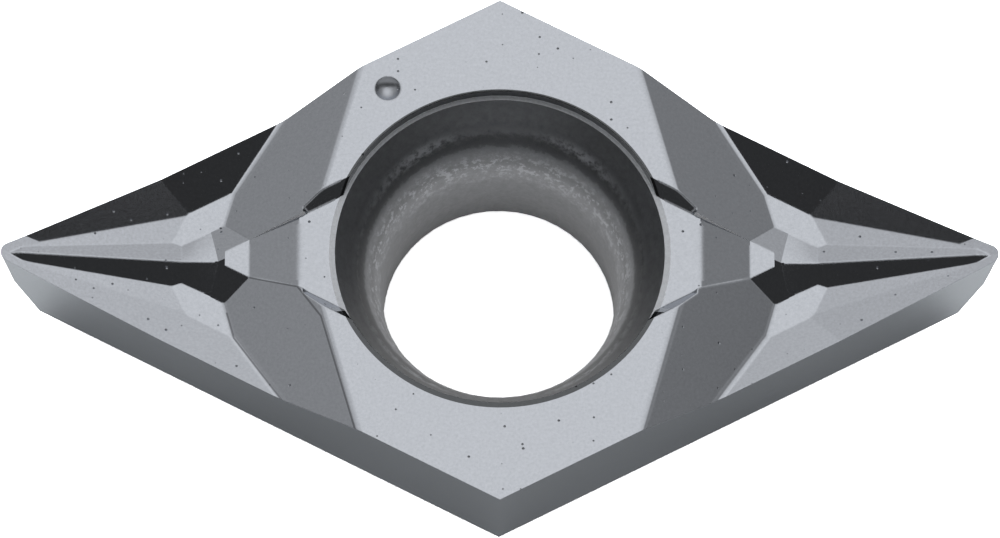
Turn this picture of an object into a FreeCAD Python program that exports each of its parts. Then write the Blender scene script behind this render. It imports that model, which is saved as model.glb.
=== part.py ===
import FreeCAD, Part
import math
import os

import Sketcher

# Carbide turning insert: a 55 degree rhombic indexable tip with a pressed chipbreaker at both
# noses, ground flanks and a conical screw seat. One solid. Sizes in millimetres and degrees.
# The origin is the centre of the bottom face on the hole axis, +X runs along the long diagonal.

os.makedirs("parts", exist_ok=True)
doc = FreeCAD.newDocument("CarbideInsert")

# Driving dimensions

DIMENSIONS = [
    # ground outline
    ("inscribed_circle", 9.525),
    ("point_angle", 55),
    ("clearance_angle", 7),
    ("thickness", 3.97),
    ("nose_radius", 0.2),
    ("nose_height", 3.65),
    ("bottom_chamfer", 0.35),
    # rake faces and valleys beside the cutting edges
    ("edge_height", 3.275),
    ("edge_rake_angle", 20.18),
    ("nose_rake_angle", 18.63),
    ("nose_edge_angle", 5.93),
    ("valley_height", 2.973),
    ("nose_floor_start", 6.87),
    ("nose_floor_rise_angle", 11.74),
    ("nose_floor_side_angle", 5.75),
    ("tip_height", 3.655),
    ("tip_rise_angle", 14.65),
    ("tip_side_angle", 11.69),
    # spear ridge that runs out to each nose
    ("ridge_height", 3.155),
    ("ridge_bend", 6.45),
    ("ridge_root_inset", 0.02),
    ("ridge_rise_angle", 8.59),
    ("ridge_flank_angle", 24.05),
    ("ridge_shoulder", 9.65),
    ("ridge_tip_gap", 0.1),
    ("ridge_tip_drop", 0.045),
    # raised boss round the hole, with sloped bands down to the valleys
    ("plateau_corner", 3.966),
    ("plateau_side_angle", 15.96),
    ("band_angle", 29.17),
    ("plateau_edge_radius", 0.3),
    ("band_foot_radius", 0.2),
    # shallow recess beside the hole and its ramp down to the spearhead
    ("recess_depth", 0.28),
    ("recess_inradius", 2.55),
    ("recess_wall_angle", 38.2),
    ("recess_corner", 3.87),
    ("ramp_start", 4.056),
    ("ramp_end", 5.07),
    ("ramp_wall_angle", 8),
    # spearhead between the ramp and the ridge
    ("spearhead_height", 3.316),
    ("spearhead_inradius", 2.70),
    ("spearhead_end", 5.56),
    ("spearhead_side_angle", 28.6),
    ("spearhead_front_angle", 49),
    # screw hole with its conical seat
    ("bore_diameter", 4.74),
    ("seat_curve_radius", 4),
    ("seat_cone_angle", 60),
    ("seat_mouth_diameter", 6.67),
    ("counterbore_step", 0.05),
    ("counterbore_offset", 0.04),
    # index dimple
    ("dimple_diameter", 0.52),
    ("dimple_depth", 0.13),
    ("dimple_x", -2.28),
    ("dimple_y", 3.46),
]

TOUCH = 1e-4
CUTTING_KINDS = (
    "PartDesign::Pocket",
    "PartDesign::Groove",
    "PartDesign::SubtractiveLoft",
    "PartDesign::Chamfer",
)

sheet = doc.addObject("Spreadsheet::Sheet", "Dimensions")
for row, (alias, value) in enumerate(DIMENSIONS, start=1):
    sheet.set(f"A{row}", alias)
    sheet.set(f"B{row}", str(value))
    sheet.setAlias(f"B{row}", alias)
doc.recompute()


def dim(alias):
    """Expression that reads one cell of the sheet."""
    return f"Dimensions.{alias}"


def number(expression):
    """Present value of an expression, used to draw a sketch close to its solution."""
    value = sheet.evalExpression(str(expression))
    return getattr(value, "Value", value)


def origin_plane(body, role):
    return next(f for f in body.Origin.OriginFeatures if f.Role == role)


def new_sketch(body, name, role, offset=("0", "0", "0"), turn="0"):
    """Sketch on an origin plane of its body, moved and turned about its own vertical axis."""
    sketch = body.newObject("Sketcher::SketchObject", name)
    sketch.AttachmentSupport = [(origin_plane(body, role), "")]
    sketch.MapMode = "FlatFace"
    sketch.AttachmentOffset = FreeCAD.Placement(
        FreeCAD.Vector(*(number(v) for v in offset)),
        FreeCAD.Rotation(FreeCAD.Vector(0, 1, 0), number(turn)),
    )
    for axis, distance in zip("xyz", offset):
        if distance != "0":
            sketch.setExpression(f"AttachmentOffset.Base.{axis}", distance)
    if turn != "0":
        sketch.setExpression("AttachmentOffset.Rotation.Angle", turn)
    return sketch


def pin(sketch, geometry, end, x, y):
    """Hold one end of a sketch line at a place given by two expressions."""
    for kind, axis, expression in (("DistanceX", -2, x), ("DistanceY", -1, y)):
        if expression == "0":
            sketch.addConstraint(Sketcher.Constraint("PointOnObject", geometry, end, axis))
            continue
        index = sketch.addConstraint(
            Sketcher.Constraint(kind, -1, 1, geometry, end, number(expression))
        )
        sketch.setExpression(f"Constraints[{index}]", expression)


def draw_polygon(sketch, corners):
    """Closed outline through corners that are pairs of expressions."""
    points = [FreeCAD.Vector(number(x), number(y), 0) for x, y in corners]
    lines = [
        sketch.addGeometry(Part.LineSegment(start, end))
        for start, end in zip(points, points[1:] + points[:1])
    ]
    for line, following in zip(lines, lines[1:] + lines[:1]):
        sketch.addConstraint(Sketcher.Constraint("Coincident", line, 2, following, 1))
    for line, (x, y) in zip(lines, corners):
        pin(sketch, line, 1, x, y)


def rhombus(half_length, half_width):
    return [
        (half_length, "0"),
        ("0", half_width),
        (f"-({half_length})", "0"),
        ("0", f"-({half_width})"),
    ]


def pad(body, name, sketch, length, taper="0", reverse=False, symmetric=False, kind="Pad"):
    feature = body.newObject(f"PartDesign::{kind}", name)
    feature.Profile = sketch
    feature.Reversed = reverse
    feature.SideType = "Symmetric" if symmetric else "One side"
    feature.setExpression("Length", length)
    if taper != "0":
        feature.setExpression("TaperAngle", taper)
    return feature


def loft(body, name, sketches, kind="AdditiveLoft"):
    feature = body.newObject(f"PartDesign::{kind}", name)
    feature.Profile = sketches[0]
    feature.Sections = sketches[1:]
    feature.Ruled = True
    return feature


def revolve(body, name, sketch, kind):
    """Full turn of a profile about the vertical axis of its sketch."""
    feature = body.newObject(f"PartDesign::{kind}", name)
    feature.Profile = sketch
    feature.ReferenceAxis = (sketch, ["V_Axis"])
    feature.Angle = 360
    return feature


def mirror(body, name, originals, roles):
    """Copies of features across one or more origin planes."""
    feature = body.newObject("PartDesign::MultiTransform", name)
    feature.Originals = originals
    steps = []
    for role in roles:
        step = doc.addObject("PartDesign::Mirrored", f"{name}{role[:2]}")
        step.MirrorPlane = (origin_plane(body, role), [""])
        steps.append(step)
    feature.Transformations = steps
    body.Tip = feature
    return feature


def edges_where(shape, wanted):
    """Names of the edges whose end points, taken together, satisfy a test."""
    ends = ([vertex.Point for vertex in edge.Vertexes] for edge in shape.Edges)
    return [f"Edge{i}" for i, points in enumerate(ends, start=1) if wanted(points)]


# Values that several features share

half_point = f"({dim('point_angle')} / 2)"
side_sin = f"sin({half_point})"
side_cos = f"cos({half_point})"
clearance = f"tan({dim('clearance_angle')})"
half_circle = f"({dim('inscribed_circle')} / 2)"
stock_reach = f"({dim('inscribed_circle')} / {side_sin})"
stock_width = f"({dim('inscribed_circle')} / {side_cos})"
stock_top = f"({dim('thickness')} + {dim('recess_depth')})"


def side_y(inradius, x):
    """Y on a line that lies parallel to a cutting edge, at a given distance from the centre."""
    return f"(({inradius}) - ({x}) * {side_sin}) / {side_cos}"


def inradius_at(height):
    """Distance of a flank from the centre: the inscribed circle is measured at the noses."""
    return f"({half_circle} - ({dim('nose_height')} - ({height})) * {clearance})"


# Ground blank: oversize stock, cut by four flanks that lean outward by the clearance angle

blank = doc.addObject("PartDesign::Body", "Blank")
blank.Label = "insert"
edge_normal = f"(90 - {half_point}) * 1 deg"
stock = new_sketch(blank, "StockOutline", "XY_Plane")
draw_polygon(stock, rhombus(stock_reach, stock_width))
pad(blank, "Stock", stock, stock_top)
flank_profile = new_sketch(blank, "FlankProfile", "XZ_Plane", turn=edge_normal)
draw_polygon(
    flank_profile,
    [
        (inradius_at("0"), "0"),
        (stock_reach, "0"),
        (stock_reach, stock_top),
        (inradius_at(stock_top), stock_top),
    ],
)
flank = pad(
    blank, "Flank", flank_profile, f"3 * {stock_reach}", symmetric=True, kind="Pocket"
)
mirror(blank, "GroundFlanks", [flank], ["YZ_Plane", "XZ_Plane"])

# Noses: each sharp corner is cut back to the tangent lines, then rounded by a cone whose
# radius grows upward with the clearance, so that it stays tangent to both flanks

nose_x = f"(({half_circle} - {dim('nose_radius')}) / {side_sin})"
cone_foot = f"({dim('nose_height')} - {dim('nose_radius')} / {clearance})"
cone_top_radius = f"({stock_top} - {cone_foot}) * {clearance}"
tangent_top_x = f"{nose_x} + {cone_top_radius} * {side_sin}"
beyond_x = f"{nose_x} + 2 * {cone_top_radius} / {side_sin}"
trim = new_sketch(blank, "NoseTrimProfile", "XZ_Plane")
draw_polygon(trim, [(nose_x, cone_foot), (beyond_x, stock_top), (tangent_top_x, stock_top)])
nose_trim = pad(blank, "NoseTrim", trim, half_circle, symmetric=True, kind="Pocket")

cone = new_sketch(blank, "NoseConeProfile", "XZ_Plane", offset=(nose_x, "0", "0"))
draw_polygon(cone, [("0", cone_foot), (cone_top_radius, stock_top), ("0", stock_top)])
nose_cone = revolve(blank, "NoseCone", cone, "Revolution")
nose_cone.Midplane = True
nose_cone.setExpression("Angle", f"180 - {dim('point_angle')}")
noses = mirror(blank, "OtherNose", [nose_trim, nose_cone], ["YZ_Plane"])
doc.recompute()


def on_bottom(points):
    return all(abs(point.z) < TOUCH for point in points)


chamfer = blank.newObject("PartDesign::Chamfer", "BottomChamfer")
chamfer.Base = (noses, edges_where(noses.Shape, on_bottom))
chamfer.setExpression("Size", dim("bottom_chamfer"))

# Pressed top: raised boss, whose four sloped bands are cut from a block of plateau height

form = doc.addObject("PartDesign::Body", "PressedForm")
block_outline = new_sketch(form, "BlockOutline", "XY_Plane")
draw_polygon(block_outline, rhombus(stock_reach, stock_width))
pad(form, "Block", block_outline, dim("thickness"))
plateau_side = f"({dim('plateau_corner')} * cos({dim('plateau_side_angle')}))"
band_toe = f"{plateau_side} + {dim('thickness')} / tan({dim('band_angle')})"
band_profile = new_sketch(
    form, "BandProfile", "XZ_Plane", turn=f"{dim('plateau_side_angle')} * 1 deg"
)
draw_polygon(
    band_profile,
    [
        (plateau_side, dim("thickness")),
        (band_toe, "0"),
        (stock_reach, "0"),
        (stock_reach, dim("thickness")),
    ],
)
band = pad(form, "Band", band_profile, f"3 * {stock_reach}", symmetric=True, kind="Pocket")
boss = mirror(form, "Boss", [band], ["YZ_Plane", "XZ_Plane"])
doc.recompute()


def band_run(point):
    """How far a point lies outside the plateau, square to the nearest plateau side."""
    angle = math.radians(number(dim("plateau_side_angle")))
    reach = abs(point.x) * math.cos(angle) + abs(point.y) * math.sin(angle)
    return reach - number(plateau_side)


def on_plateau_side(points):
    """True for a line where the plateau meets a band."""
    level = number(dim("thickness"))
    return all(
        abs(point.z - level) < TOUCH and abs(band_run(point)) < TOUCH for point in points
    )


def at_band_foot(points):
    """True for a line where a band meets the valley floor or a rake face."""
    top = number(dim("thickness"))
    angle = math.radians(number(dim("band_angle")))
    drops = [band_run(point) * math.tan(angle) for point in points]
    on_band = all(abs(top - drop - point.z) < TOUCH for drop, point in zip(drops, points))
    rounding = number(dim("plateau_edge_radius")) * (1 - math.cos(angle))
    low_end = max(drops) > rounding + TOUCH
    off_axis = any(abs(point.y) > TOUCH for point in points)
    return on_band and low_end and off_axis


plateau_edge = form.newObject("PartDesign::Fillet", "PlateauEdge")
plateau_edge.Base = (boss, edges_where(boss.Shape, on_plateau_side))
plateau_edge.setExpression("Radius", dim("plateau_edge_radius"))

# Valley floor, twice the size of the blank so that the flanks bound it

floor_outline = new_sketch(form, "ValleyOutline", "XY_Plane")
draw_polygon(floor_outline, rhombus(stock_reach, stock_width))
pad(form, "ValleyFloor", floor_outline, dim("valley_height"))


def slope(name, azimuth, gradient, along, height):
    """Prism under an inclined plane: it climbs toward the azimuth and passes a known point."""
    profile = new_sketch(form, f"{name}Profile", "XZ_Plane", turn=azimuth)
    foot = f"({along}) - ({height}) / ({gradient})"
    top = f"({stock_reach} - ({foot})) * ({gradient})"
    draw_polygon(profile, [(foot, "0"), (stock_reach, "0"), (stock_reach, top)])
    return pad(form, name, profile, f"2 * {stock_reach}", symmetric=True)


# Rake faces and nose floors: the straight rake climbs square to the cutting edge, the nose rake
# also climbs along it, and the nose floor and the small tip facet climb mostly to the nose

edge_rake = slope(
    "EdgeRake",
    azimuth=edge_normal,
    gradient=f"tan({dim('edge_rake_angle')})",
    along=inradius_at(dim("edge_height")),
    height=dim("edge_height"),
)
across = f"tan({dim('nose_rake_angle')})"
lengthwise = f"tan({dim('nose_edge_angle')})"
nose_gradient = f"hypot({across}; {lengthwise})"
nose_run = f"({nose_x} + {dim('nose_radius')} * {side_sin})"
nose_along_edge = f"({nose_run} * {side_cos} - {side_y(half_circle, nose_run)} * {side_sin})"
nose_rake = slope(
    "NoseRake",
    azimuth=f"{edge_normal} - atan({lengthwise} / {across})",
    gradient=nose_gradient,
    along=f"({half_circle} * {across} + {nose_along_edge} * {lengthwise}) / {nose_gradient}",
    height=dim("nose_height"),
)


def nose_slope(name, rise_angle, side_angle, x, height):
    """Slope given by its climb along and across the long diagonal, through a point on it."""
    rise = f"tan({rise_angle})"
    spread = f"tan({side_angle})"
    gradient = f"hypot({rise}; {spread})"
    return slope(
        name,
        azimuth=f"atan({spread} / {rise})",
        gradient=gradient,
        along=f"({x}) * {rise} / {gradient}",
        height=height,
    )


nose_floor = nose_slope(
    "NoseFloor",
    dim("nose_floor_rise_angle"),
    dim("nose_floor_side_angle"),
    dim("nose_floor_start"),
    dim("valley_height"),
)
tip_x = f"({nose_x} + {dim('nose_radius')})"
tip_facet = nose_slope(
    "TipFacet", dim("tip_rise_angle"), dim("tip_side_angle"), tip_x, dim("tip_height")
)
rakes = mirror(
    form, "AllRakes", [edge_rake, nose_rake, nose_floor, tip_facet], ["YZ_Plane", "XZ_Plane"]
)
doc.recompute()

band_foot = form.newObject("PartDesign::Fillet", "BandFoot")
band_foot.Base = (rakes, edges_where(rakes.Shape, at_band_foot))
band_foot.setExpression("Radius", dim("band_foot_radius"))

# Ridge: a roof along the long diagonal. Behind the bend its crest is level and its foot widens
# until it is as broad as the foot of the spearhead; beyond the bend it climbs to the nose.

ridge_height = dim("ridge_height")
ridge_root = f"(2 * {dim('valley_height')} - {ridge_height})"
flank_gradient = f"tan({dim('ridge_flank_angle')})"
spearhead_drop = f"({dim('spearhead_height')} - {dim('valley_height')})"
spearhead_foot = (
    f"({dim('spearhead_inradius')} + {spearhead_drop} / tan({dim('spearhead_side_angle')}))"
)


def crest_at(x):
    climb = f"({x} - {dim('ridge_bend')}) * tan({dim('ridge_rise_angle')})"
    return f"({ridge_height} + {climb})"


def roof_section(name, x, crest, half_width):
    """Triangle across the ridge at one place along the long diagonal, rooted in the valley."""
    section = new_sketch(form, name, "YZ_Plane", offset=("0", "0", x))
    draw_polygon(
        section, [(f"-({half_width})", ridge_root), (half_width, ridge_root), ("0", crest)]
    )
    return section


def steep_section(name, x, crest):
    """Section whose flanks have the ridge's own angle."""
    return roof_section(name, x, crest, f"({crest} - {ridge_root}) / {flank_gradient}")


broad_foot = side_y(f"{spearhead_foot} - {dim('ridge_root_inset')}", dim("spearhead_end"))
ridge = loft(
    form,
    "Ridge",
    [
        roof_section("RidgeStart", dim("spearhead_end"), ridge_height, f"2 * {broad_foot}"),
        steep_section("RidgeBend", dim("ridge_bend"), ridge_height),
        steep_section("RidgeShoulder", dim("ridge_shoulder"), crest_at(dim("ridge_shoulder"))),
        steep_section(
            "RidgeTip",
            f"{tip_x} - {dim('ridge_tip_gap')}",
            f"({dim('tip_height')} - {dim('ridge_tip_drop')})",
        ),
    ],
)
mirror(form, "OtherRidge", [ridge], ["YZ_Plane"])

# Recess beside the hole, with side walls parallel to the cutting edges and a short end wall

recess_floor = f"({dim('thickness')} - {dim('recess_depth')})"
recess_corner = dim("recess_corner")
recess_side = dim("recess_inradius")
recess_waist = side_y(recess_side, "0")
recess_end_y = side_y(recess_side, recess_corner)
recess_outline = new_sketch(form, "RecessOutline", "XY_Plane", offset=("0", "0", recess_floor))
draw_polygon(
    recess_outline,
    [
        (recess_corner, f"-({recess_end_y})"),
        (recess_corner, recess_end_y),
        ("0", recess_waist),
        (f"-{recess_corner}", recess_end_y),
        (f"-{recess_corner}", f"-({recess_end_y})"),
        ("0", f"-({recess_waist})"),
    ],
)
pad(
    form,
    "Recess",
    recess_outline,
    f"2 * {dim('recess_depth')}",
    taper=dim("recess_wall_angle"),
    reverse=True,
    kind="Pocket",
)

# Ramp: a slot with steep walls, level at first, then sloping down to the top of the spearhead

wall_spread = f"tan({dim('ramp_wall_angle')}) / {side_cos}"


def ramp_section(name, x, bottom, inradius):
    """Trapezoid across the ramp, open above the plateau."""
    low = side_y(inradius, x)
    high = f"({low} + ({stock_top} - {bottom}) * {wall_spread})"
    section = new_sketch(form, name, "YZ_Plane", offset=("0", "0", x))
    draw_polygon(
        section,
        [(f"-({low})", bottom), (low, bottom), (high, stock_top), (f"-{high}", stock_top)],
    )
    return section


spearhead_height = dim("spearhead_height")
spearhead_inradius = dim("spearhead_inradius")
ramp_mouth = f"({recess_corner} - {dim('recess_depth')})"
ramp = loft(
    form,
    "Ramp",
    [
        ramp_section("RampMouth", ramp_mouth, recess_floor, recess_side),
        ramp_section("RampTop", dim("ramp_start"), recess_floor, recess_side),
        ramp_section("RampFoot", dim("ramp_end"), spearhead_height, spearhead_inradius),
        ramp_section("RampRunOut", dim("spearhead_end"), spearhead_height, spearhead_inradius),
    ],
    kind="SubtractiveLoft",
)

# Spearhead: flat top, sides parallel to the cutting edges and a steeper front


def spearhead_section(name, drop):
    """Plan of the spearhead at a given drop below its flat top."""
    reach = f"({spearhead_inradius} + ({drop}) / tan({dim('spearhead_side_angle')}))"
    front = f"({dim('spearhead_end')} + ({drop}) / tan({dim('spearhead_front_angle')}))"
    back = dim("ramp_start")
    level = f"{spearhead_height} - ({drop})"
    section = new_sketch(form, name, "XY_Plane", offset=("0", "0", level))
    back_y = side_y(reach, back)
    front_y = side_y(reach, front)
    draw_polygon(
        section,
        [(back, f"-({back_y})"), (front, f"-({front_y})"), (front, front_y), (back, back_y)],
    )
    return section


spearhead = loft(
    form,
    "Spearhead",
    [
        spearhead_section("SpearheadTop", "0"),
        spearhead_section("SpearheadFoot", f"2 * {spearhead_drop}"),
    ],
)
mirror(form, "OtherSpearhead", [ramp, spearhead], ["YZ_Plane"])
doc.recompute()

# Pressed top and ground flanks meet in one solid

pressed = blank.newObject("PartDesign::Boolean", "PressedTop")
pressed.setObjects([form])
pressed.Type = "Common"

# Screw hole: plain bore, convex curve and conical seat, whose mouth is level with the recess.
# The curve is tangent to the bore and to the cone.

half_cone = f"({dim('seat_cone_angle')} / 2)"
bore_radius = f"({dim('bore_diameter')} / 2)"
mouth_radius = f"({dim('seat_mouth_diameter')} / 2)"
curve_radius = dim("seat_curve_radius")
curve_end_x = f"({bore_radius} + {curve_radius} * (1 - cos({half_cone})))"
curve_end_z = f"({recess_floor} - ({mouth_radius} - {curve_end_x}) / tan({half_cone}))"
curve_start_z = f"({curve_end_z} - {curve_radius} * sin({half_cone}))"
below = f"-{dim('recess_depth')}"

hole = new_sketch(blank, "HoleProfile", "XZ_Plane")
hole_corners = [
    (bore_radius, curve_start_z),
    (bore_radius, below),
    ("0", below),
    ("0", stock_top),
    (mouth_radius, stock_top),
    (mouth_radius, recess_floor),
    (curve_end_x, curve_end_z),
]
points = [FreeCAD.Vector(number(x), number(z), 0) for x, z in hole_corners]
for index, (start, end) in enumerate(zip(points, points[1:])):
    hole.addGeometry(Part.LineSegment(start, end))
    pin(hole, index, 1, *hole_corners[index])
    if index:
        hole.addConstraint(Sketcher.Constraint("Coincident", index - 1, 2, index, 1))
cone_line = len(points) - 2
pin(hole, cone_line, 2, *hole_corners[-1])
curve_centre = FreeCAD.Vector(number(bore_radius) + number(curve_radius), points[0].y, 0)
curve = hole.addGeometry(
    Part.ArcOfCircle(
        Part.Circle(curve_centre, FreeCAD.Vector(0, 0, 1), number(curve_radius)),
        math.pi - math.radians(number(half_cone)),
        math.pi,
    )
)
hole.addConstraint(Sketcher.Constraint("Coincident", curve, 1, cone_line, 2))
hole.addConstraint(Sketcher.Constraint("Coincident", curve, 2, 0, 1))
bend = hole.addConstraint(Sketcher.Constraint("Radius", curve, number(curve_radius)))
hole.setExpression(f"Constraints[{bend}]", curve_radius)
revolve(blank, "ScrewHole", hole, "Groove")

# Counterbore: a shallow step round the mouth, level with the recess, set a little off the axis

counterbore_outline = new_sketch(
    blank, "CounterboreOutline", "XY_Plane", offset=("0", "0", recess_floor)
)
counterbore_radius = f"({mouth_radius} + {dim('counterbore_step')})"
counterbore_circle = counterbore_outline.addGeometry(
    Part.Circle(
        FreeCAD.Vector(0, number(dim("counterbore_offset")), 0),
        FreeCAD.Vector(0, 0, 1),
        number(counterbore_radius),
    )
)
pin(counterbore_outline, counterbore_circle, 3, "0", dim("counterbore_offset"))
rim = counterbore_outline.addConstraint(
    Sketcher.Constraint("Radius", counterbore_circle, number(counterbore_radius))
)
counterbore_outline.setExpression(f"Constraints[{rim}]", counterbore_radius)
pad(
    blank,
    "Counterbore",
    counterbore_outline,
    f"2 * {dim('recess_depth')}",
    reverse=True,
    kind="Pocket",
)

# Index dimple: a shallow ball-shaped mark on the plateau

dimple_radius = f"({dim('dimple_diameter')} / 2)"
dimple_depth = dim("dimple_depth")
ball_radius = f"(({dimple_radius} ^ 2 + {dimple_depth} ^ 2) / (2 * {dimple_depth}))"
ball_centre = f"({dim('thickness')} - {dimple_depth} + {ball_radius})"
dimple = new_sketch(
    blank, "DimpleProfile", "XZ_Plane", offset=(dim("dimple_x"), "0", f"-{dim('dimple_y')}")
)
centre = FreeCAD.Vector(0, number(ball_centre), 0)
half_height = FreeCAD.Vector(0, number(ball_radius), 0)
half_ball = dimple.addGeometry(
    Part.ArcOfCircle(
        Part.Circle(centre, FreeCAD.Vector(0, 0, 1), number(ball_radius)),
        -math.pi / 2,
        math.pi / 2,
    )
)
axis_line = dimple.addGeometry(Part.LineSegment(centre + half_height, centre - half_height))
pin(dimple, half_ball, 3, "0", ball_centre)
dimple.addConstraint(Sketcher.Constraint("PointOnObject", half_ball, 1, -2))
dimple.addConstraint(Sketcher.Constraint("PointOnObject", half_ball, 2, -2))
dimple.addConstraint(Sketcher.Constraint("Coincident", axis_line, 1, half_ball, 2))
dimple.addConstraint(Sketcher.Constraint("Coincident", axis_line, 2, half_ball, 1))
swell = dimple.addConstraint(Sketcher.Constraint("Radius", half_ball, number(ball_radius)))
dimple.setExpression(f"Constraints[{swell}]", ball_radius)
revolve(blank, "IndexDimple", dimple, "Groove")
doc.recompute()

for item in doc.Objects:
    if {"Invalid", "Error"} & set(item.State):
        raise RuntimeError(f"{item.Name} did not build: {item.State}")
cuts = [item for item in doc.Objects if item.TypeId in CUTTING_KINDS]
for cut in cuts:
    if cut.Shape.Volume >= cut.BaseFeature.Shape.Volume:
        raise RuntimeError(f"{cut.Name} removed nothing")
shape = blank.Shape
if shape.isNull() or not shape.isValid():
    raise RuntimeError(f"{blank.Label} has no valid shape")
shape.exportStep(f"parts/{blank.Label}.step")
print(blank.Label, f"volume {shape.Volume:.3f} mm3", shape.BoundBox)
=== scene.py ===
# %% [markdown]
# # A carbide turning insert in a light tent
# A turning insert is a small tip of cemented carbide that is screwed to a lathe tool. It is
# pressed from powder, sintered until it is hard and dense, and ground on its flanks. This
# lesson takes the solid as the CAD frame gives it, sets a long lens over it, dresses it in
# sintered and ground metal, and lights it inside a tent whose walls are toned by direction,
# because a bare metal face shows nothing but what it reflects.

# %% Load the frame
import math

import bpy
from mathutils import Matrix, Vector

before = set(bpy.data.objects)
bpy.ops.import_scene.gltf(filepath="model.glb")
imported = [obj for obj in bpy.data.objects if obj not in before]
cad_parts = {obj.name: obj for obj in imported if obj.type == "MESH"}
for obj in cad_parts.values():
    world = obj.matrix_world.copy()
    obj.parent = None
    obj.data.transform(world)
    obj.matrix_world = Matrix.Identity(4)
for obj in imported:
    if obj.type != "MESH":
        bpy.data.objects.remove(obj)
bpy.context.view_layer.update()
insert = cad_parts["insert"]
MM = 0.001
print("insert:", len(insert.data.vertices), "points,", len(insert.data.polygons), "triangles")

# %% [markdown]
# ## The camera
# A catalogue picture of a part this small is taken from far off with a long lens, so that
# its two halves keep the same size. The view is fixed by an azimuth, an elevation and a
# small roll, read back from the corners of the rhombus, and the camera looks at a point a
# little above the insert.

# %% Camera
VIEW_AZIMUTH = -0.886
VIEW_ELEVATION = 68.599
VIEW_ROLL = 0.964
VIEW_DISTANCE = 175.447 * MM
LENS = 313.78
NEAR_LIMIT = 10 * MM
AIM_HEIGHT = 4.32 * MM
AIM_RIGHT = 0.0086 * MM
AIM_UP = -0.5662 * MM


def camera_axes(azimuth, elevation, roll):
    """Right, up and backward directions of a camera, and right and up after the roll."""
    flat = Vector((math.sin(azimuth), -math.cos(azimuth), 0))
    backward = flat * math.cos(elevation) + Vector((0, 0, math.sin(elevation)))
    right = Vector((0, 0, 1)).cross(backward).normalized()
    up = backward.cross(right)
    rolled_right = right * math.cos(roll) + up * math.sin(roll)
    rolled_up = up * math.cos(roll) - right * math.sin(roll)
    return right, up, backward, rolled_right, rolled_up


angles = [math.radians(a) for a in (VIEW_AZIMUTH, VIEW_ELEVATION, VIEW_ROLL)]
right, up, backward, rolled_right, rolled_up = camera_axes(*angles)
aim = Vector((0, 0, AIM_HEIGHT)) + right * AIM_RIGHT + up * AIM_UP
camera_data = bpy.data.cameras.new("catalogue_camera")
camera_data.lens = LENS
camera_data.clip_start = NEAR_LIMIT
camera = bpy.data.objects.new("catalogue_camera", camera_data)
turn = Matrix((rolled_right, rolled_up, backward)).transposed().to_4x4()
camera.matrix_world = Matrix.Translation(aim + backward * VIEW_DISTANCE) @ turn
bpy.context.scene.collection.objects.link(camera)
bpy.context.scene.camera = camera
print("camera stands at", [round(v / MM, 2) for v in camera.location], "mm")

# %% [markdown]
# ## Where a point lies
# The insert is one lump of metal, but its top was pressed, its flanks and bottom were ground
# and its hole was left as sintered. One material can tell these apart by asking where a
# point lies and which way its face is turned. Two helpers keep that short: one adds a node
# and fills its sockets, the other adds a single sum. The shape is the same at both ends, so
# a line drawn for one end, or for one quarter of the plan, can serve for the others.

# %% Places on the insert
BOTTOM_FACE = -0.5


def add_node(tree, kind, inputs=None, **settings):
    """Add a shader node, set its properties, and fill or link its inputs by name or number."""
    node = tree.nodes.new("ShaderNode" + kind)
    for name, value in settings.items():
        setattr(node, name, value)
    for name, value in (inputs or {}).items():
        if isinstance(value, bpy.types.NodeSocket):
            tree.links.new(value, node.inputs[name])
        else:
            node.inputs[name].default_value = value
    return node


def maths(tree, operation, first, second=0.0, clamp=False):
    """Output of one Math node."""
    inputs = {0: first, 1: second}
    return add_node(tree, "Math", inputs, operation=operation, use_clamp=clamp).outputs[0]


def places(tree):
    """Sockets that say where a point lies and how its face is turned, by name."""
    point = add_node(tree, "TexCoord").outputs["Object"]
    x, y, height = add_node(tree, "SeparateXYZ", {0: point}).outputs
    true_normal = add_node(tree, "NewGeometry").outputs["True Normal"]
    facing_side, _, facing_up = add_node(tree, "SeparateXYZ", {0: true_normal}).outputs
    plan = add_node(tree, "CombineXYZ", {0: x, 1: y}).outputs[0]
    from_axis = add_node(tree, "VectorMath", {0: plan}, operation="LENGTH").outputs["Value"]
    # On the bottom face the distance counts as 1 m, so the finish of the hole stays off it.
    bottom = maths(tree, "LESS_THAN", facing_up, BOTTOM_FACE)
    from_axis = maths(tree, "MAXIMUM", from_axis, bottom)
    either_end = maths(tree, "ABSOLUTE", x)
    either_side = maths(tree, "ABSOLUTE", y)
    return {
        "point": point,
        "height": height,
        "plan": plan,
        "from_axis": from_axis,
        "bottom": bottom,
        "facing_side": facing_side,
        "facing_up": facing_up,
        "end": maths(tree, "SIGN", x),
        "side": maths(tree, "SIGN", y),
        "either_end": either_end,
        "either_side": either_side,
        "half": add_node(tree, "CombineXYZ", {0: either_end, 1: y}).outputs[0],
        "quarter": add_node(tree, "CombineXYZ", {0: either_end, 1: either_side}).outputs[0],
    }


print("faces turned down by more than", -BOTTOM_FACE, "count as the bottom")

# %% [markdown]
# ## Masks of the finishes
# Each finish gets a mask, 1 where it holds and 0 elsewhere. The hole, the ledge of its
# counterbore, painted lit, and the step above it, painted dark, are told by their distance from
# the axis, the flanks by their steepness, and the index dimple by its centre. A fine line of
# painted shade runs round the near left band of the pressed top. It follows a few corners of
# the plan, in millimetres, and what lies nearer to that line than the reach belongs to it.

# %% Finish masks
HOLE_REACH = 3.33 * MM
LEDGE_REACH = 3.45 * MM
RIM_REACH = 3.52 * MM
LEDGE_TOP = 3.70 * MM
STEEP_FACE = 0.35
DIMPLE_CENTRE = Vector((-2.28, 3.46, 0)) * MM
DIMPLE_RADIUS = 0.27 * MM
# Painted shade: a thin dark line round the near left band of the pressed top.
SHADE_LINE_REACH = 0.018
SHADE_LINE_CORNERS = [
    [(-5.05, -0.42), (-4.08, -0.79), (-3.60, -1.48), (-2.50, -5.30)],
    [(-5.52, -1.06), (-5.37, -1.60), (-3.40, -4.50)],
]


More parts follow.
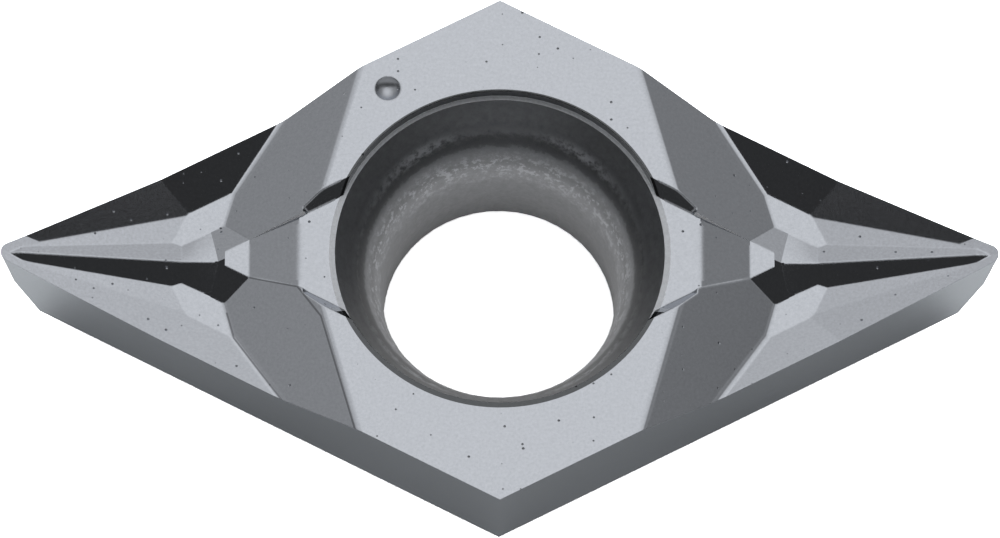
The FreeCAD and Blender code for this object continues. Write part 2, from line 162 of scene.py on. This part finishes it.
def near_line(tree, point, line):
    """1 within a given reach of a line between two points of the plan, in millimetres."""
    start, end, reach = line
    start = Vector((*start, 0)) * MM
    run = Vector((*end, 0)) * MM - start
    offset = add_node(tree, "VectorMath", {0: point, 1: start}, operation="SUBTRACT").outputs[0]
    share = run / run.length_squared
    along = add_node(tree, "VectorMath", {0: offset, 1: share}, operation="DOT_PRODUCT")
    along = maths(tree, "ADD", along.outputs["Value"], 0.0, clamp=True)
    foot = add_node(tree, "VectorMath", {0: run, "Scale": along}, operation="SCALE").outputs[0]
    gap = add_node(tree, "VectorMath", {0: offset, 1: foot}, operation="DISTANCE")
    return maths(tree, "LESS_THAN", gap.outputs["Value"], reach * MM)


def finish_masks(tree, spot):
    """Masks of the hole, ledge and step, ground faces, dimple and painted shade line."""
    from_axis = spot["from_axis"]
    hole = maths(tree, "LESS_THAN", from_axis, HOLE_REACH)
    around = maths(tree, "SUBTRACT", maths(tree, "LESS_THAN", from_axis, LEDGE_REACH), hole)
    low = maths(tree, "LESS_THAN", spot["height"], LEDGE_TOP)
    # The ledge gets a painted highlight, the step above it a painted shade.
    ledge = maths(tree, "MULTIPLY", around, low)
    steep = maths(tree, "LESS_THAN", maths(tree, "ABSOLUTE", spot["facing_up"]), STEEP_FACE)
    outside = maths(tree, "GREATER_THAN", from_axis, RIM_REACH)
    flank = maths(tree, "MULTIPLY", steep, outside)
    ground = maths(tree, "MAXIMUM", flank, spot["bottom"])
    to_dimple = {0: spot["plan"], 1: DIMPLE_CENTRE}
    from_dimple = add_node(tree, "VectorMath", to_dimple, operation="DISTANCE").outputs["Value"]
    # Mask of the painted shade line, one stretch for each pair of corners.
    painted_shade_line = 0.0
    for corners in SHADE_LINE_CORNERS:
        for start, end in zip(corners, corners[1:]):
            stretch = near_line(tree, spot["plan"], (start, end, SHADE_LINE_REACH))
            painted_shade_line = maths(tree, "MAXIMUM", painted_shade_line, stretch)
    return {
        "hole": hole,
        "ledge": ledge,
        "step": maths(tree, "SUBTRACT", around, ledge),
        "steep": steep,
        "ground": ground,
        "dimple": maths(tree, "LESS_THAN", from_dimple, DIMPLE_RADIUS),
        "painted_shade_line": maths(tree, "MULTIPLY", painted_shade_line, maths(tree, "SUBTRACT", 1.0, ground)),
    }


print("rim of the hole:", round(RIM_REACH / MM, 2), "mm from the axis")

# %% [markdown]
# ## Masks of the folds
# A pressed fold is a little round, a ground edge is crisp. The crisp zones are the cutting
# edges and the rim of the hole, found by how near they are. The fold where the floor of the
# recess turns into the ramp is the softest. Two small faces are ironed smooth by the press:
# the end of the ramp's far wall melts into the band beside it, and the front of the
# spearhead bends round from its sides.

# %% Fold masks
POINT_ANGLE = math.radians(55)
CLEARANCE = math.radians(7)
INSCRIBED_RADIUS = 9.525 / 2 * MM
NOSE_HEIGHT = 3.65 * MM
CRISP_WIDTH = 0.12 * MM
FRONT_FACE = 0.6
RAMP_FOLD = ((4.06, 0.0), (4.06, 0.45), 0.16)
RAMP_WALL_END = ((4.03, 0.80), (5.07, 0.41), 0.10)
SPEARHEAD_FRONT = ((5.62, 0.00), (5.86, 0.68), 0.13)


def distance_inside(tree, spot):
    """How far a point lies inside the nearest ground flank."""
    along = maths(tree, "MULTIPLY", spot["either_end"], math.sin(POINT_ANGLE / 2))
    across = maths(tree, "MULTIPLY", spot["either_side"], math.cos(POINT_ANGLE / 2))
    leaning = maths(tree, "MULTIPLY", spot["height"], math.tan(CLEARANCE))
    foot = INSCRIBED_RADIUS - NOSE_HEIGHT * math.tan(CLEARANCE)
    flank = maths(tree, "ADD", leaning, foot)
    return maths(tree, "SUBTRACT", flank, maths(tree, "ADD", along, across))


def fold_masks(tree, spot, steep):
    """Masks of the crisp edges, the soft fold and the two ironed faces."""
    near_edge = maths(tree, "LESS_THAN", distance_inside(tree, spot), CRISP_WIDTH)
    near_rim = maths(tree, "LESS_THAN", spot["from_axis"], RIM_REACH)
    by_wall_end = near_line(tree, spot["half"], RAMP_WALL_END)
    by_front = near_line(tree, spot["quarter"], SPEARHEAD_FRONT)
    sideways = maths(tree, "ABSOLUTE", spot["facing_side"])
    frontal = maths(tree, "GREATER_THAN", sideways, FRONT_FACE)
    return {
        "crisp": maths(tree, "MAXIMUM", near_edge, near_rim),
        "soft": near_line(tree, spot["quarter"], RAMP_FOLD),
        "ironed": maths(tree, "MAXIMUM", by_wall_end, by_front),
        # The end of the ramp's far wall, which also gets a painted highlight in its grey.
        "wall_end": maths(tree, "MULTIPLY", by_wall_end, steep),
        "front": maths(tree, "MULTIPLY", by_front, frontal),
    }


print("cutting edges: crisp for", round(CRISP_WIDTH / MM, 2), "mm")

# %% [markdown]
# ## Texture of the pressed and ground faces
# Three patterns carry the surface. A fine grain comes from the carbide crystals and the die.
# Grinding lines run along each flank, so their noise is squeezed in height and stretched
# along the face. A few tiny pits are scattered over the pressed faces: they are dents in the
# bump height, so they show dark where the face is bright and bright where it is dark.

# %% Surface patterns
GRAIN_SIZE = 0.06 * MM
LINE_SIZE = 1.2 * MM
LINE_STRETCH = 45
PIT_SPACING = 0.36 * MM
PIT_SHARE = 0.30
PIT_WIDTH = 0.085


def smooth_step(tree, value, low, high):
    """Rise from 0 to 1 as the value goes from low to high."""
    inputs = {"Value": value, "From Min": low, "From Max": high}
    node = add_node(tree, "MapRange", inputs, interpolation_type="SMOOTHSTEP")
    return node.outputs["Result"]


def noise(tree, place, size, detail=3, roughness=0.6):
    """Noise with features of about the given size."""
    inputs = {"Vector": place, "Scale": 1 / size, "Detail": detail, "Roughness": roughness}
    return add_node(tree, "TexNoise", inputs).outputs["Fac"]


def grinding_lines(tree, place):
    """Noise drawn out along the flanks, as the wheel leaves it."""
    squeezed = add_node(tree, "Mapping", {"Vector": place, "Scale": (1, 1, LINE_STRETCH)})
    return noise(tree, squeezed.outputs[0], LINE_SIZE, detail=6, roughness=0.7)


def scattered_pits(tree, place):
    """Small round dents in a random share of the cells of a Voronoi pattern, seen in plan."""
    inputs = {"Vector": place, "Scale": 1 / PIT_SPACING}
    cells = add_node(tree, "TexVoronoi", inputs, voronoi_dimensions="2D").outputs
    chance = add_node(tree, "SeparateXYZ", {0: cells["Color"]}).outputs[0]
    chosen = maths(tree, "LESS_THAN", chance, PIT_SHARE)
    width = maths(tree, "MULTIPLY", chance, PIT_WIDTH / PIT_SHARE)
    inside = smooth_step(tree, cells["Distance"], width, 0.0)
    return maths(tree, "MULTIPLY", inside, chosen)


print("pits: up to", round(2 * PIT_WIDTH * PIT_SPACING / MM, 3), "mm wide")

# %% [markdown]
# ## The wall of the screw hole
# The hole is never ground. Its wall is left as sintered, and painted in rings of tone that
# stand in for the light and shade it reflects: grey at the bottom, paler in the curved throat,
# then dark in the cone. Pale spots crowd the throat and a few smears lie above it on both
# sides. A curve of tone by height gives the painted rings, and one coarse noise makes their
# borders ragged and places the spots.

# %% Hole wall
HOLE_GREY = (0.98, 1.00, 1.04)
HOLE_TOP = 4.0 * MM
# Painted reflection: tone of the hole wall by height in mm, its light and dark rings.
HOLE_PAINTED_BANDS = [
    (0.00, 0.30),
    (0.50, 0.35),
    (0.90, 0.39),
    (1.50, 0.435),
    (1.85, 0.53),
    (2.05, 0.52),
    (2.20, 0.45),
    (2.45, 0.53),
    (2.60, 0.46),
    (2.70, 0.24),
    (2.85, 0.20),
    (3.02, 0.29),
    (3.15, 0.26),
    (3.30, 0.28),
    (4.00, 0.29),
]
RAGGED_HEIGHT = 0.35 * MM
UNEVENNESS = 0.6
THROAT = (1.5 * MM, 2.7 * MM)
SPOT_LEVEL = (0.52, 0.59)
SPOT_TONE = 0.78
SMEAR_HEIGHT = (2.80 * MM, 3.22 * MM)
SMEAR_SIDES = (0.5 * MM, 2.9 * MM)
SMEAR_LEVEL = (0.36, 0.60)
SMEAR_TONE = 0.66


def curve(tree, value, points):
    """Read a smooth curve that runs through the points, all between 0 and 1."""
    node = add_node(tree, "FloatCurve", {"Value": value})
    line = node.mapping.curves[0]
    for x, y in points[1:-1]:
        line.points.new(x, y)
    for handle, (x, y) in zip(line.points, points):
        handle.location = (x, y)
    node.mapping.update()
    return node.outputs["Value"]


def mix(tree, factor, first, second, kind="FLOAT"):
    """Blend two numbers, vectors or colours."""
    first_input, output = {"FLOAT": (2, 0), "VECTOR": (4, 1), "RGBA": (6, 2)}[kind]
    inputs = {"Factor": factor, first_input: first, first_input + 1: second}
    return add_node(tree, "Mix", inputs, data_type=kind).outputs[output]


def bell(tree, value, low, high):
    """Rise from 0 at the low end to 1 in the middle and fall back to 0 at the high end."""
    middle = 0.5 * (low + high)
    rise = smooth_step(tree, value, low, middle)
    return maths(tree, "MULTIPLY", rise, smooth_step(tree, value, high, middle))


def hole_painted_bands_and_spots(tree, spot, mottle):
    """Painted reflection bands of the hole wall by height, pale spots in the throat, smears
    above.
    """
    wander = maths(tree, "MULTIPLY", maths(tree, "SUBTRACT", mottle, 0.5), RAGGED_HEIGHT)
    ragged = maths(tree, "ADD", spot["height"], wander)
    level = maths(tree, "DIVIDE", ragged, HOLE_TOP)
    # Painted reflection bands, by the ragged height.
    tone = curve(tree, level, [(z * MM / HOLE_TOP, grey) for z, grey in HOLE_PAINTED_BANDS])
    uneven = maths(tree, "MULTIPLY", mottle, UNEVENNESS)
    tone = maths(tree, "MULTIPLY", tone, maths(tree, "ADD", uneven, 1 - UNEVENNESS / 2))

    in_throat = bell(tree, spot["height"], *THROAT)
    spots = maths(tree, "MULTIPLY", in_throat, smooth_step(tree, mottle, *SPOT_LEVEL))
    tone = mix(tree, spots, tone, SPOT_TONE)

    on_sides = bell(tree, spot["either_end"], *SMEAR_SIDES)
    smears = maths(tree, "MULTIPLY", bell(tree, ragged, *SMEAR_HEIGHT), on_sides)
    smears = maths(tree, "MULTIPLY", smears, smooth_step(tree, mottle, *SMEAR_LEVEL))
    tone = mix(tree, smears, tone, SMEAR_TONE)
    scaled = add_node(tree, "VectorMath", {0: HOLE_GREY, "Scale": tone}, operation="SCALE")
    return scaled.outputs[0]


print("hole wall:", len(HOLE_PAINTED_BANDS), "tones from the bottom to", round(HOLE_TOP / MM, 1), "mm")

# %% [markdown]
# ## Colour and gloss
# Cemented carbide is a bare grey metal with a faint cold tint. The pressed top keeps the
# even satin of the polished die. The ground faces are a little duller and bluer, with the
# fine lines of the wheel. The ledge of the counterbore is matt and painted pale, a painted
# highlight; the step above it is painted nearly black, a painted shade. The end of the ramp's
# far wall is painted pale too, as a painted highlight. All are one metal, so each finish, and
# each painted highlight and shade, only mixes its grey and its roughness in where its mask
# says so.

# %% Colour and roughness
CARBIDE_GREY = (0.503, 0.525, 0.566, 1)
# The ground grey is the flanks' own; the other greys are painted light and shade.
FINISH_AND_PAINTED_GREYS = {
    "ground": (0.475, 0.525, 0.580, 1),
    # Painted highlight: the ledge is painted pale.
    "ledge": (0.85, 0.87, 0.90, 1),
    # Painted shade: the step is painted nearly black.
    "step": (0.10, 0.105, 0.11, 1),
    # Painted highlight: the end of the ramp's far wall is painted pale.
    "wall_end": (0.93, 0.95, 1.00, 1),
}
GRAIN_CONTRAST = 0.30
LINE_CONTRAST = 0.5
# How much the painted shade line darkens the colour.
SHADE_LINE_DARKNESS = 0.50
TOP_ROUGHNESS = 0.07
FINISH_ROUGHNESS = {
    "ground": 0.24,
    "hole": 0.32,
    "ledge": 0.70,
    "dimple": 0.30,
    "wall_end": 0.60,
}
ROUGHNESS_GRAIN = 0.03


def carbide_colour(tree, masks, hole_painted_grey, grain, wheel_lines):
    """Grey of each finish and painted light, with grain, grinding lines and painted shade line.
    """
    grey = mix(tree, masks["hole"], CARBIDE_GREY, hole_painted_grey, "RGBA")
    for finish, listed_grey in FINISH_AND_PAINTED_GREYS.items():
        grey = mix(tree, masks[finish], grey, listed_grey, "RGBA")
    fine = maths(tree, "MULTIPLY", grain, GRAIN_CONTRAST)
    fine = maths(tree, "ADD", fine, 1 - GRAIN_CONTRAST / 2)
    lines = maths(tree, "SUBTRACT", wheel_lines, 0.5)
    lines = maths(tree, "MULTIPLY", lines, masks["ground"])
    lines = maths(tree, "ADD", maths(tree, "MULTIPLY", lines, LINE_CONTRAST), 1.0)
    shade = maths(tree, "MULTIPLY", fine, lines)
    # Painted shade: the colour is darkened along the shade line.
    shade = maths(tree, "MULTIPLY", shade, mix(tree, masks["painted_shade_line"], 1.0, SHADE_LINE_DARKNESS))
    return add_node(tree, "VectorMath", {0: grey, "Scale": shade}, operation="SCALE").outputs[0]


def carbide_roughness(tree, masks, grain):
    """Roughness of each finish, with a little of the grain in it."""
    roughness = TOP_ROUGHNESS
    for finish, finish_roughness in FINISH_ROUGHNESS.items():
        roughness = mix(tree, masks[finish], roughness, finish_roughness)
    return maths(tree, "ADD", roughness, maths(tree, "MULTIPLY", grain, ROUGHNESS_GRAIN))


print("roughness: top", TOP_ROUGHNESS, "and", FINISH_ROUGHNESS)

# %% [markdown]
# ## Soft folds and small dents
# Rounding every pressed fold in the mesh would change the solid, so a Bevel node rounds only
# the shading: its radius is wide on the soft fold, small at the ground edges and next to
# nothing on the ironed faces, where the normal is given instead so that they shade like
# their neighbours. Grain and pits then go in as bump heights.

# %% Shading normal
FOLD_RADIUS = 0.06 * MM
FOLD_RADII = {
    "soft": 0.15 * MM,
    "crisp": 0.012 * MM,
    "ironed": 0.002 * MM,
}
FOLD_SAMPLES = 8
IRONED_NORMALS = {
    "wall_end": (-0.28, -0.19, 0.94),
    "front": (0.22, 0.42, 0.88),
}
GRAIN_DEPTH = 0.0001 * MM
PIT_DEPTH = 0.03 * MM


def carbide_normal(tree, spot, masks, grain, pits):
    """Normal with rounded folds, ironed faces, and the bump of grain and pits."""
    radius = FOLD_RADIUS
    for fold, fold_radius in FOLD_RADII.items():
        radius = mix(tree, masks[fold], radius, fold_radius)
    normal = add_node(tree, "Bevel", {"Radius": radius}, samples=FOLD_SAMPLES).outputs["Normal"]
    for face, (x, y, z) in IRONED_NORMALS.items():
        outward = maths(tree, "MULTIPLY", spot["end"], x)
        sideways = maths(tree, "MULTIPLY", spot["side"], y)
        ironed = add_node(tree, "CombineXYZ", {0: outward, 1: sideways, 2: z}).outputs[0]
        normal = mix(tree, masks[face], normal, ironed, "VECTOR")
    grain_height = maths(tree, "MULTIPLY", grain, GRAIN_DEPTH)
    heights = maths(tree, "SUBTRACT", grain_height, maths(tree, "MULTIPLY", pits, PIT_DEPTH))
    bump = {"Strength": 1.0, "Distance": 1.0, "Height": heights, "Normal": normal}
    return add_node(tree, "Bump", bump).outputs["Normal"]


print("folds: rounded by", round(FOLD_RADIUS / MM, 3), "mm in the shading")

# %% [markdown]
# ## The carbide material
# The parts above come together in one metallic shader. The CAD solid stays as it is: its
# material slots are only given the new material.

# %% Carbide material
MOTTLE_SIZE = 0.16 * MM


def new_tree(owner):
    """Empty shader tree of a material or world, and its output node."""
    owner.use_nodes = True
    owner.node_tree.nodes.clear()
    world = isinstance(owner, bpy.types.World)
    kind = "OutputWorld" if world else "OutputMaterial"
    return owner.node_tree, add_node(owner.node_tree, kind)


def carbide_material(name):
    """Bare carbide: pressed on top, ground at the flanks and bottom, sintered in the hole."""
    material = bpy.data.materials.new(name)
    tree, output = new_tree(material)
    spot = places(tree)
    masks = finish_masks(tree, spot)
    masks.update(fold_masks(tree, spot, masks["steep"]))
    grain = noise(tree, spot["point"], GRAIN_SIZE)
    mottle = noise(tree, spot["point"], MOTTLE_SIZE, detail=5, roughness=0.72)
    wheel_lines = grinding_lines(tree, spot["point"])
    pressed = maths(tree, "MAXIMUM", masks["hole"], masks["ground"])
    pressed = maths(tree, "SUBTRACT", 1.0, pressed)
    pits = maths(tree, "MULTIPLY", scattered_pits(tree, spot["point"]), pressed)
    hole_painted_grey = hole_painted_bands_and_spots(tree, spot, mottle)
    inputs = {
        "Base Color": carbide_colour(tree, masks, hole_painted_grey, grain, wheel_lines),
        "Roughness": carbide_roughness(tree, masks, grain),
        "Metallic": 1.0,
        "Normal": carbide_normal(tree, spot, masks, grain, pits),
    }
    metal = add_node(tree, "BsdfPrincipled", inputs)
    tree.links.new(metal.outputs[0], output.inputs["Surface"])
    return material


carbide = carbide_material("carbide")
for slot in insert.material_slots:
    slot.material = carbide
print("carbide: nodes", len(carbide.node_tree.nodes))

# %% [markdown]
# ## The floor
# The insert lies on a plain white sheet. The sheet is a diffuse white, so it keeps the soft
# shadow where the insert meets it. For the camera its colour is raised until lit paper reads
# as clean white. To the metal that mirrors it, the sheet is painted darker by distance from
# the axis: a painted shade, deepest around the insert, lighter again under the hole and from
# about 10 mm out. The sheet lies a hair below the insert. It is open from behind and to rays
# that start right on it, so that the ground bottom face can be looked at, and gets light,
# from below.

# %% Floor
FLOOR_RADIUS = 0.9
FLOOR_CORNERS = 96
FLOOR_GAP = 0.002 * MM
CONTACT_REACH = 0.02 * MM
BOUNCE_WHITE = 0.85
SEEN_WHITE = 3.2
MIRROR_RANGE = 12 * MM
# Painted shade seen in mirrors: tone of the paper by distance from the axis, in mm.
MIRRORED_PAINTED_SHADE = [
    (0.0, 0.85),
    (2.6, 0.85),
    (3.6, 0.50),
    (5.0, 0.33),
    (7.0, 0.35),
    (8.6, 0.36),
    (9.1, 0.40),
    (9.6, 0.55),
    (10.1, 0.66),
    (12.0, 0.67),
]


def paper_material(name):
    """White paper: plain to diffuse light, brighter to the camera, painted darker to mirrors.
    """
    material = bpy.data.materials.new(name)
    tree, output = new_tree(material)
    ray = add_node(tree, "LightPath").outputs
    mirrored = maths(tree, "ADD", ray["Is Glossy Ray"], ray["Is Transmission Ray"])
    spot = add_node(tree, "TexCoord").outputs["Object"]
    reach = add_node(tree, "VectorMath", {0: spot}, operation="LENGTH").outputs["Value"]
    share = maths(tree, "DIVIDE", reach, MIRROR_RANGE, clamp=True)
    tones = [(r * MM / MIRROR_RANGE, tone) for r, tone in MIRRORED_PAINTED_SHADE]
    # Mirrors see the painted shade: darker around the insert, brighter under the hole.
    paper_tone = mix(tree, mirrored, BOUNCE_WHITE, curve(tree, share, tones))
    paper_tone = mix(tree, ray["Is Camera Ray"], paper_tone, SEEN_WHITE)
    paper = add_node(tree, "BsdfDiffuse", {"Color": paper_tone}).outputs[0]
    behind = add_node(tree, "NewGeometry").outputs["Backfacing"]
    contact = maths(tree, "LESS_THAN", ray["Ray Length"], CONTACT_REACH)
    open_side = maths(tree, "MAXIMUM", behind, contact)
    see_through = add_node(tree, "BsdfTransparent").outputs[0]
    sheet = add_node(tree, "MixShader", {0: open_side, 1: paper, 2: see_through})
    tree.links.new(sheet.outputs[0], output.inputs["Surface"])
    return material


bpy.ops.mesh.primitive_circle_add(
    vertices=FLOOR_CORNERS, radius=FLOOR_RADIUS, fill_type="NGON"
)
floor = bpy.context.object
floor.name = "white_floor"
floor.location.z = -FLOOR_GAP
floor.data.materials.append(paper_material("white_paper"))
print("floor: radius", FLOOR_RADIUS, "m")

# %% [markdown]
# ## The light tent
# A mirror-like face shows one direction of the room, so the room is painted instead of the
# part. The tent is a ball with the insert in its middle, and the floor hides its lower half.
# A bright window runs from overhead down the back, with grey cloth at both sides, a little
# darker on the right. Black cloth hangs on the side of the camera, with a low grey card in
# it. Only mirror rays see the tent.

# %% Light tent
TENT_RADIUS = 0.5
TENT_RINGS = 48
SIDE_RANGE = 1.6
BLACK_CLOTH = 0.045
LOW_CARD = 0.40
BLACK_EDGE = (-0.070, -0.045)
LOW_CARD_HEAD = (-0.58, -0.66)
LOW_CARD_FOOT = (-0.985, -0.955)
SIDE_TONES = [
    (-1.60, 0.37),
    (-1.04, 0.44),
    (-0.75, 0.42),
    (-0.62, 0.55),
    (-0.50, 0.68),
    (-0.36, 0.73),
    (-0.20, 0.85),
    (0.00, 1.00),
    (0.20, 0.93),
    (0.40, 0.83),
    (0.54, 0.74),
    (0.66, 0.45),
    (0.78, 0.32),
    (1.05, 0.36),
    (1.60, 0.19),
]
HEIGHT_TONES = [(0.0, 0.64), (0.25, 0.66), (0.35, 0.72), (0.6, 0.93), (0.8, 1.0), (1.0, 1.0)]


def tent_material(name):
    """Glow by direction: window tones across and up, black cloth and a card in front."""
    material = bpy.data.materials.new(name)
    tree, output = new_tree(material)
    point = add_node(tree, "TexCoord").outputs["Object"]
    x, y, z = add_node(tree, "SeparateXYZ", {0: point}).outputs
    upright = add_node(tree, "CombineXYZ", {1: y, 2: z}).outputs[0]
    arc = add_node(tree, "VectorMath", {0: upright}, operation="LENGTH").outputs["Value"]
    sideways = maths(tree, "DIVIDE", x, arc)
    half_range = 0.5 / SIDE_RANGE
    across = maths(tree, "ADD", maths(tree, "MULTIPLY", sideways, half_range), 0.5)
    side_tone = curve(tree, across, [(0.5 + s * half_range, tone) for s, tone in SIDE_TONES])
    height_tone = curve(tree, maths(tree, "DIVIDE", z, arc), HEIGHT_TONES)
    backward = maths(tree, "DIVIDE", y, arc)
    window = smooth_step(tree, backward, *BLACK_EDGE)
    light = maths(tree, "MULTIPLY", maths(tree, "MULTIPLY", side_tone, height_tone), window)
    card = smooth_step(tree, backward, *LOW_CARD_FOOT)
    card = maths(tree, "MULTIPLY", card, smooth_step(tree, backward, *LOW_CARD_HEAD))
    light = maths(tree, "ADD", light, maths(tree, "MULTIPLY", card, LOW_CARD))
    glow = add_node(tree, "Emission", {"Strength": maths(tree, "MAXIMUM", light, BLACK_CLOTH)})
    tree.links.new(glow.outputs[0], output.inputs["Surface"])
    return material


bpy.ops.mesh.primitive_uv_sphere_add(
    segments=2 * TENT_RINGS, ring_count=TENT_RINGS, radius=TENT_RADIUS
)
tent = bpy.context.object
tent.name = "light_tent"
tent.data.materials.append(tent_material("tent_cloth"))
tent.visible_camera = False
tent.visible_diffuse = False
tent.visible_shadow = False
tent.visible_transmission = False
print("tent: radius", TENT_RADIUS, "m")

# %% [markdown]
# ## The sky
# To the camera and to the paper the room is simply a white sky of strength 1. That is plain
# light, in which a colour renders about as it is written, and the view transform is Standard
# so that nothing bends the tones afterwards.

# %% White sky
world = bpy.data.worlds.new("white_sky")
bpy.context.scene.world = world
tree, output = new_tree(world)
sky = add_node(tree, "Background", {"Color": (1, 1, 1, 1), "Strength": 1.0})
tree.links.new(sky.outputs[0], output.inputs["Surface"])
bpy.context.scene.view_settings.view_transform = "Standard"
print("sky: view transform", bpy.context.scene.view_settings.view_transform)
